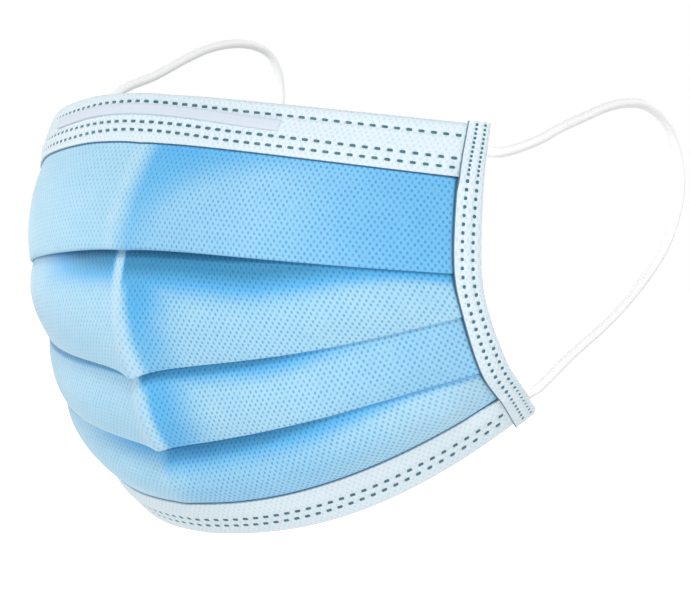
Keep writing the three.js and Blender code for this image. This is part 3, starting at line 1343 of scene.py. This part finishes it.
DASH = WeldShape(half_length=0.75, half_width=0.35)
WIDE_DASH = WeldShape(half_length=0.68, half_width=0.5)
DOT = WeldShape(half_length=0.46, half_width=0.46, squareness=2.4)
WELD_RINGS = ((1.0, 0.0), (1.0, 0.6), (0.8, 1.0))  # width and height of each ring, as shares of the mark's


def weld_dent(shape: WeldShape, along: Array, aside: Array) -> Array:
    """Finds how deep the cloth is pressed in round a weld mark.

    Args:
        shape: The mark.
        along: Distance from its middle, lengthwise.
        aside: Distance from its middle, sideways.

    Returns:
        The depth.
    """
    over_length = np.maximum(np.abs(along) - shape.half_length, 0.0)
    over_width = np.maximum(np.abs(aside) - shape.half_width, 0.0)
    return shape.dent * (1.0 - smooth_step(np.hypot(over_length, over_width), 0.0, shape.dent_reach))


def weld_marks(
    strip: str, layer: Layer, shape: WeldShape, share: Array, station: Array, lift: Array, sizes: Array
) -> Piece:
    """Makes the weld marks on one layer of a strip as one piece: small flat lozenges with a bevelled rim.

    Args:
        strip: The strip's name.
        layer: Which layer.
        shape: Size of one mark.
        share: Where each mark is across the mask.
        station: Where each mark is down the mask.
        lift: How far each mark's foot stands off the panel's middle.
        sizes: How large each mark is, as a share of the shape's size.

    Returns:
        The object.
    """
    name = f"{strip}_welds_{layer.name.lower()}"
    lengthwise, _, above = FORM.frame_at(share, station, FORM.probe)
    sideways = np.cross(above * layer, lengthwise)
    places = FORM.lifted(share, station, layer * lift)
    angle = np.linspace(0.0, FULL_TURN, shape.corners, endpoint=False)
    power = 2.0 / shape.squareness
    wide = np.sign(np.cos(angle)) * np.abs(np.cos(angle)) ** power * shape.half_length
    high = np.sign(np.sin(angle)) * np.abs(np.sin(angle)) ** power * shape.half_width
    outline = lengthwise[:, None] * wide[None, :, None] + sideways[:, None] * high[None, :, None]
    outline = outline * sizes[:, None, None]
    outward = np.cross(lengthwise, sideways)
    rings = []
    for width, height in WELD_RINGS:
        rings.append(places[:, None] + outline * width + outward[:, None] * shape.height * height)
    points = np.stack(rings, axis=1)
    number = np.arange(points[..., 0].size).reshape(points.shape[:-1])
    after = np.roll(number, -1, axis=2)
    sides = ClothWall.quads(number[:, :-1], after[:, :-1], after[:, 1:], number[:, 1:])
    faces = [*sides.tolist(), *number[:, -1].tolist(), *number[:, 0, ::-1].tolist()]
    made = make_object(name, points.reshape(-1, 3) * MM, faces, [WELD.material()], np.zeros(len(faces)))
    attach(made, BODY)
    return made


@dataclass
class EdgeBinding:
    """A white strip folded over the top or the bottom edge, welded on in rows of dashes.

    row_sink is how far the rows sink towards the seam from the middle to sink_end. The strip stands off the
    panel's middle by lift, and from seam_ease on it lies down to seam_lift at its seam. It ends at end_share
    of the half width, and its welds end weld_end millimetres from the middle.
    """

    name: str
    node: str
    edge: Line
    seam: Line
    rows: tuple[WeldRow, ...]
    dash: WeldShape = DASH
    row_sink: float = 0.0
    sink_end: float = 0.35
    cloth: float = 0.45
    lift: float = 1.2
    seam_lift: float = 0.54
    seam_ease: float = 0.7
    fold_inset: float = 0.5
    end_share: float = 0.982
    weld_end: float = 83.4
    weld_sink: float = 0.02
    pitch: float = 2.97
    columns: int = 360
    flat_rows: int = 40
    fold_rows: int = 8

    def towards_seam(self, share: Array) -> Array:
        """How many stations a millimetre towards the seam is."""
        return np.sign(self.seam - self.edge) / FORM.span_above(share, max(self.edge, self.seam))

    def row_part(self, row: WeldRow, share: Array) -> Array:
        """Where a row of welds runs: it sinks towards the seam beside the middle."""
        return row.part + self.row_sink * smooth_step(np.abs(share), 0.0, self.sink_end)

    def lift_at(self, part: Array) -> Array:
        """How far the strip stands off the panel's middle: it lies down towards its seam."""
        return blend(self.lift, self.seam_lift, smooth_step(part, self.seam_ease, 1.0))

    def dents(self, share: Array, part: Array) -> Array:
        """Finds how deep the welds press the strip in.

        Args:
            share: Where across the mask.
            part: How far the place is from the edge, from 0 to 1 at the seam.

        Returns:
            The depth.
        """
        along = share * FORM.half_width
        depth = np.zeros(np.broadcast(share, part).shape)
        for row in self.rows:
            from_mark = (along / self.pitch - row.shift + 0.5) % 1.0 - 0.5
            aside = (part - self.row_part(row, share)) / np.abs(self.towards_seam(share))
            depth = np.maximum(depth, weld_dent(self.dash, from_mark * self.pitch, aside))
        return depth * (np.abs(along) < self.weld_end + self.dash.half_length)

    def build(self) -> Piece:
        """Makes the strip and its weld marks, and stores where the strip's points lie on its flat cloth.

        Returns:
            The strip.
        """
        share = np.linspace(-self.end_share, self.end_share, self.columns)
        column = share[:, None]
        part = np.linspace(0.0, 1.0, self.flat_rows + 1)[None]
        fold = self.edge + self.fold_inset * self.towards_seam(column)
        bend = fold + self.lift * self.towards_seam(column)
        turn = np.linspace(0.0, math.pi, self.fold_rows + 1)[None, 1:-1]
        outer_station = blend(self.seam, bend, part)
        outer_part = np.abs(outer_station - self.edge)
        outer_lift = self.lift_at(outer_part) - self.dents(column, outer_part)
        round_station = bend - self.lift * self.towards_seam(column) * np.sin(turn)
        round_lift = self.lift * np.cos(turn) + 0.0 * column
        stations = np.concatenate([outer_station, round_station, outer_station[:, ::-1]], axis=1)
        lifts = np.concatenate([outer_lift, round_lift, -outer_lift[:, ::-1]], axis=1)
        middle = FORM.lifted(column, stations, lifts)
        along = np.broadcast_to(column * FORM.half_width, stations.shape)
        down = length_along(middle)
        place = np.stack([along, down], axis=-1)
        if self.edge > self.seam:
            middle, place = middle[::-1], place[::-1]
        wall = ClothWall(self.name, middle, np.full((1, 1), self.cloth), place)
        cloth = WHITE_CLOTH.material()
        made = wall.build(cloth, cloth)
        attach(made, BODY)
        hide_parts(self.node)
        width = 2.0 * self.end_share * FORM.half_width
        flat_length = float(down[:, -1].mean())
        welds = [self.marks(layer) for layer in Layer]
        log.info("%s: flat %.1f by %.1f mm", made.name, width, flat_length)
        return made

    def marks(self, layer: Layer) -> Piece:
        """Makes the weld marks on one layer.

        Args:
            layer: Which layer.

        Returns:
            The marks.
        """
        count = int(self.weld_end / self.pitch)
        numbers = np.arange(-count, count + 1)
        shares = [(numbers + row.shift) * self.pitch / FORM.half_width for row in self.rows]
        part = np.concatenate([self.row_part(row, share) for row, share in zip(self.rows, shares)])
        share = np.concatenate(shares)
        station = self.edge + np.sign(self.seam - self.edge) * part
        lift = self.lift_at(part) + self.cloth / 2.0 - self.dash.dent - self.weld_sink
        return weld_marks(self.name, layer, self.dash, share, station, lift, np.ones(len(share)))


@dataclass(frozen=True)
class DotRun:
    """A run of weld dots down a side binding, in millimetres. size is a share of a full dot's."""

    first: float
    last: float
    pitch: float
    size: float


@dataclass
class SideBinding:
    """A white strip folded over a side edge, welded on with two columns of dots.

    The dots are dense in a run at the top and one at the bottom. top_gap and bottom_gap are how far these
    runs keep off the ends, and wide_gap is the step from the top run to the wider dots, as a share of their
    pitch.
    """

    side: Side
    cloth: float = 0.45
    lift: float = 1.75
    seam_lift: float = 0.95
    seam_ease: float = 0.65
    panel_ease: float = 0.2
    width: float = 6.4
    fold_inset: float = 0.5
    dot_parts: tuple[float, ...] = (0.36, 0.69)
    dot_shift: float = 0.11
    top_run: float = 13.4
    bottom_run: float = 15.4
    dense_top: float = 1.12
    dense_bottom: float = 1.75
    dense_size: float = 0.78
    top_gap: float = 0.7
    bottom_gap: float = 0.6
    wide_gap: float = 0.6
    pitch: float = 2.1
    fine_steps: int = 1200
    weld_sink: float = 0.02
    columns: int = 300
    flat_rows: int = 26
    fold_rows: int = 8

    @property
    def name(self) -> str:
        """The strip's name."""
        return f"side_strip_{self.side.name.lower()}"

    def share_at(self, inward: Array) -> Array:
        """Share of the half width at a distance inward from the outer edge, in millimetres."""
        return self.side * (1.0 - inward / FORM.half_width)

    def lift_at(self, inward: Array, station: Array) -> Array:
        """Finds how far the strip stands off the panel's middle: it lies down towards its seam.

        Args:
            inward: Distance inward from the outer edge, in millimetres.
            station: Where down the cloth.

        Returns:
            The lift.
        """
        on_panel = smooth_step(station, Line.TOP_SEAM, Line.TOP_SEAM + self.panel_ease)
        on_panel = on_panel * smooth_step(-station, -Line.BOTTOM_SEAM, self.panel_ease - Line.BOTTOM_SEAM)
        lying = smooth_step(inward / self.width, self.seam_ease, 1.0) * on_panel
        return blend(self.lift, self.seam_lift, lying)

    def dot_places(self) -> tuple[Array, Array, Array]:
        """Finds where the weld dots go.

        Returns:
            Each dot's distance inward from the outer edge, its station and its size.
        """
        fine = np.linspace(Line.TOP_EDGE, Line.BOTTOM_EDGE, self.fine_steps)
        run = length_along(FORM.surface(self.share_at(self.width / 2.0), fine))
        bottom = run[-1] - self.bottom_run
        wide_start = self.top_run + self.pitch * self.wide_gap
        bottom_end = run[-1] - self.bottom_gap
        runs = (
            DotRun(self.top_gap, self.top_run, self.dense_top, self.dense_size),
            DotRun(wide_start, bottom, self.pitch, 1.0),
            DotRun(bottom + self.dense_bottom, bottom_end, self.dense_bottom, self.dense_size),
        )
        along = [np.arange(each.first, each.last, each.pitch) for each in runs]
        sizes = np.concatenate([np.full(len(places), each.size) for each, places in zip(runs, along)])
        station = np.interp(np.concatenate(along), run, fine)
        half_down = smooth_step(station, Line.TOP_EDGE, Line.FIRST_PLEAT)
        half_down = half_down * (1.0 - smooth_step(station, Line.FIRST_PLEAT, Line.BOTTOM_SEAM))
        inward = [self.width * (1.0 - part + self.dot_shift * half_down) for part in self.dot_parts]
        rows = len(self.dot_parts)
        return np.concatenate(inward), np.tile(station, rows), np.tile(sizes, rows)

    def dents(self, points: Array, dots: Array, sizes: Array) -> Array:
        """Finds how deep the welds press the strip in.

        Args:
            points: Points of the strip.
            dots: Middles of the dots.
            sizes: Their sizes.

        Returns:
            The depth at each point.
        """
        depth = np.zeros(points.shape[:2])
        for dot, size in zip(dots, sizes):
            away = np.linalg.norm(points - dot, axis=-1) / size
            depth = np.maximum(depth, weld_dent(DOT, away, 0.0 * away))
        return depth

    def build(self) -> Piece:
        """Makes the strip and its weld marks, and stores where the strip's points lie on its flat cloth.

        Returns:
            The strip.
        """
        station = np.linspace(Line.TOP_EDGE, Line.BOTTOM_EDGE, self.columns)[:, None]
        part = np.linspace(0.0, 1.0, self.flat_rows + 1)[None]
        turn = np.linspace(0.0, math.pi, self.fold_rows + 1)[None, 1:-1]
        bend = self.fold_inset + self.lift
        flat_inward = blend(self.width, bend, part)
        round_inward = bend - self.lift * np.sin(turn)
        inward_dots, station_dots, sizes = self.dot_places()
        dots = FORM.surface(self.share_at(inward_dots), station_dots)
        flat_points = FORM.surface(self.share_at(flat_inward), station)
        dented = self.lift_at(flat_inward, station) - self.dents(flat_points, dots, sizes)
        rounded = self.lift * np.cos(turn) + 0.0 * station
        inward = np.concatenate([flat_inward, round_inward, flat_inward[:, ::-1]], axis=1)
        lifts = np.concatenate([dented, rounded, -dented[:, ::-1]], axis=1)
        middle = FORM.lifted(self.share_at(inward), station, lifts)
        across = length_along(middle)
        along = np.broadcast_to(np.linspace(0.0, 1.0, self.columns)[:, None], across.shape)
        run = length_along(middle[:, 0])
        # distance to the strip's inner edges, which sets the painted shadow line along them
        to_seam = np.minimum(across, across[:, -1:] - across)
        place = np.stack([across, along * run[-1], to_seam], axis=-1)
        if self.side is Side.RIGHT:
            middle, place = middle[::-1], place[::-1]
        wall = ClothWall(self.name, middle, np.full((1, 1), self.cloth), place)
        cloth = SIDE_CLOTH.material()
        made = wall.build(cloth, cloth)
        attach(made, BODY)
        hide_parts(f"side_binding_{self.side.name.lower()}")
        flat_length = float(across[:, -1].mean())
        welds = [self.marks(layer) for layer in Layer]
        log.info("%s: flat %.1f by %.1f mm", made.name, flat_length, run[-1])
        return made

    def marks(self, layer: Layer) -> Piece:
        """Makes the weld dots on one layer.

        Args:
            layer: Which layer.

        Returns:
            The dots.
        """
        inward, station, sizes = self.dot_places()
        lift = self.lift_at(inward, station) + self.cloth / 2.0 - DOT.dent - self.weld_sink
        return weld_marks(self.name, layer, DOT, self.share_at(inward), station, lift, sizes)


@dataclass
class NoseWire:
    """The flat nose wire in its smooth raised sleeve on the top binding.

    middle_top and middle_bottom are the stations of its edges at the middle. It sinks by end_sink towards its
    ends.
    """

    half_length: float = 40.0
    middle_top: float = 0.28
    middle_bottom: float = 0.5
    end_sink: float = 0.12
    foot_lift: float = 1.48
    rim: float = 0.1
    crown: float = 0.5
    squareness: float = 8.0
    end_ease: float = 0.6
    columns: int = 160
    rows: int = 20

    def build(self) -> Piece:
        """Makes the sleeve.

        Returns:
            The object.
        """
        along = np.linspace(-self.half_length, self.half_length, self.columns)[:, None]
        part = np.linspace(-1.0, 1.0, self.rows)[None]
        sink = self.end_sink * smooth_step(np.abs(along), 0.0, self.half_length)
        station = blend(self.middle_top, self.middle_bottom, (part + 1.0) / 2.0) + sink
        to_end = smooth_step(self.half_length - np.abs(along), 0.0, self.end_ease)
        hump = (1.0 - np.abs(part) ** self.squareness) * to_end
        thickness = self.rim + self.crown * hump
        middle = FORM.lifted(along / FORM.half_width, station, self.foot_lift + thickness / 2.0)
        down = length_along(middle)
        place = np.stack([np.broadcast_to(along, down.shape), down], axis=-1)
        cloth = WIRE_SLEEVE.material()
        made = ClothWall("nose_wire_sleeve", middle, thickness, place).build(cloth, cloth)
        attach(made, BODY)
        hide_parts("nose_wire")
        log.info("%s: %.0f mm long", made.name, 2.0 * self.half_length)
        return made


@dataclass(frozen=True)
class SoftLight:
    """A square studio light that shines on the mask."""

    name: str
    azimuth: float
    elevation: float
    distance: float
    size: float
    power: float


@dataclass
class Studio:
    """Camera, lights, white surroundings and floor.

    Lengths are in metres and angles in degrees. sensor and lens are in millimetres. sky and ground are how
    strong the soft light is from above and from below.
    """

    azimuth: float = 35.788
    elevation: float = 1.906
    distance: float = 0.775
    aim: Point = (0.01859, 0.05422, -0.05184)
    sensor: float = 36.0
    lens: float = 158.59
    floor_height: float = -0.2
    floor_corners: int = 96
    backdrop_segments: int = 48
    backdrop_rings: int = 24
    stage_radius: float = 5.0
    sky: float = 0.42
    ground: float = 0.8
    lights: tuple[SoftLight, ...] = (
        SoftLight("key_light", 30.0, 42.0, 1.3, 0.35, 7.6),
        SoftLight("side_light", -75.0, 8.0, 1.3, 0.5, 6.4),
        SoftLight("low_light", 52.0, -36.0, 1.3, 0.8, 5.9),
        SoftLight("back_light", 180.0, 12.0, 1.3, 0.8, 7.0),
    )

    @staticmethod
    def direction(azimuth: float, elevation: float) -> Vector:
        """Unit vector from the mask to a place round it. Azimuth 0 is straight in front."""
        turn, rise = math.radians(azimuth), math.radians(elevation)
        return Vector((math.sin(turn) * math.cos(rise), -math.cos(turn) * math.cos(rise), math.sin(rise)))

    def build_camera(self) -> None:
        """Makes the camera."""
        data = bpy.data.cameras.new("camera")
        data.sensor_width = self.sensor
        data.lens = self.lens
        camera = bpy.data.objects.new("camera", data)
        back = self.direction(self.azimuth, self.elevation)
        camera.location = Vector(self.aim) + back * self.distance
        camera.rotation_euler = back.to_track_quat("Z", "Y").to_euler()
        bpy.context.scene.collection.objects.link(camera)
        bpy.context.scene.camera = camera

    def build(self) -> None:
        """Makes the soft light all round, the lights, the floor and the backdrop."""
        scene = bpy.context.scene
        scene.view_settings.view_transform = "Standard"
        scene.world = self.soft_surroundings()
        for light in self.lights:
            self.build_light(light)
        bpy.ops.mesh.primitive_circle_add(
            vertices=self.floor_corners,
            radius=self.stage_radius,
            fill_type="NGON",
            location=(0.0, 0.0, self.floor_height),
        )
        self.set_stage("studio_floor", FLOOR_PAINT)
        bpy.ops.mesh.primitive_uv_sphere_add(
            segments=self.backdrop_segments, ring_count=self.backdrop_rings, radius=self.stage_radius
        )
        self.set_stage("studio_backdrop", BACKDROP_PAINT)

    def soft_surroundings(self) -> bpy.types.World:
        """Makes soft white light from all round, more of it from below.

        Returns:
            The world.
        """
        world = bpy.data.worlds.new("soft_surroundings")
        world.use_nodes = True
        nodes, links = world.node_tree.nodes, world.node_tree.links
        place = nodes.new("ShaderNodeTexCoord")
        axes = nodes.new("ShaderNodeSeparateXYZ")
        height = nodes.new("ShaderNodeMapRange")
        numbers = {"From Min": -1.0, "From Max": 1.0, "To Min": self.ground, "To Max": self.sky}
        for name, number in numbers.items():
            height.inputs[name].default_value = number
        links.new(place.outputs["Generated"], axes.inputs[0])
        links.new(axes.outputs["Z"], height.inputs["Value"])
        background = nodes["Background"]
        background.inputs["Color"].default_value = WHITE_LIGHT
        links.new(height.outputs["Result"], background.inputs["Strength"])
        return world

    @staticmethod
    def set_stage(name: str, paint: StudioPaint) -> None:
        """Paints the newest object and sets it as stage that throws no light or shadow on the mask.

        Args:
            name: The object's name.
            paint: Its paint.
        """
        made = bpy.context.object
        made.name = name
        made.data.materials.append(paint.material())
        made.visible_diffuse = False
        made.visible_glossy = False
        made.visible_shadow = False

    def build_light(self, light: SoftLight) -> None:
        """Makes one light.

        Args:
            light: Its place, size and power.
        """
        data = bpy.data.lights.new(light.name, "AREA")
        data.size = light.size
        data.energy = light.power
        lamp = bpy.data.objects.new(light.name, data)
        towards = self.direction(light.azimuth, light.elevation)
        lamp.location = Vector(self.aim) + towards * light.distance
        lamp.rotation_euler = towards.to_track_quat("Z", "Y").to_euler()
        lamp.visible_camera = False
        bpy.context.scene.collection.objects.link(lamp)


def main() -> None:
    """Builds the scene: camera and cords first, then the cloth, then the studio."""
    logging.basicConfig(level=logging.INFO)
    studio = Studio()
    studio.build_camera()
    for route in (LEFT_ROUTE, RIGHT_ROUTE):
        EarLoop(route).build()
    PleatedPanel().build()
    EdgeBinding(
        name="top_strip",
        node="top_binding",
        edge=Line.TOP_EDGE,
        seam=Line.TOP_SEAM,
        rows=(WeldRow(0.215), WeldRow(0.64), WeldRow(0.795)),
        row_sink=0.065,
    ).build()
    EdgeBinding(
        name="bottom_strip",
        node="bottom_binding",
        edge=Line.BOTTOM_EDGE,
        seam=Line.BOTTOM_SEAM,
        rows=(WeldRow(0.58), WeldRow(0.37, shift=0.5)),
        dash=WIDE_DASH,
    ).build()
    for side in Side:
        SideBinding(side).build()
    NoseWire().build()
    studio.build()


if __name__ == "__main__":
    main()
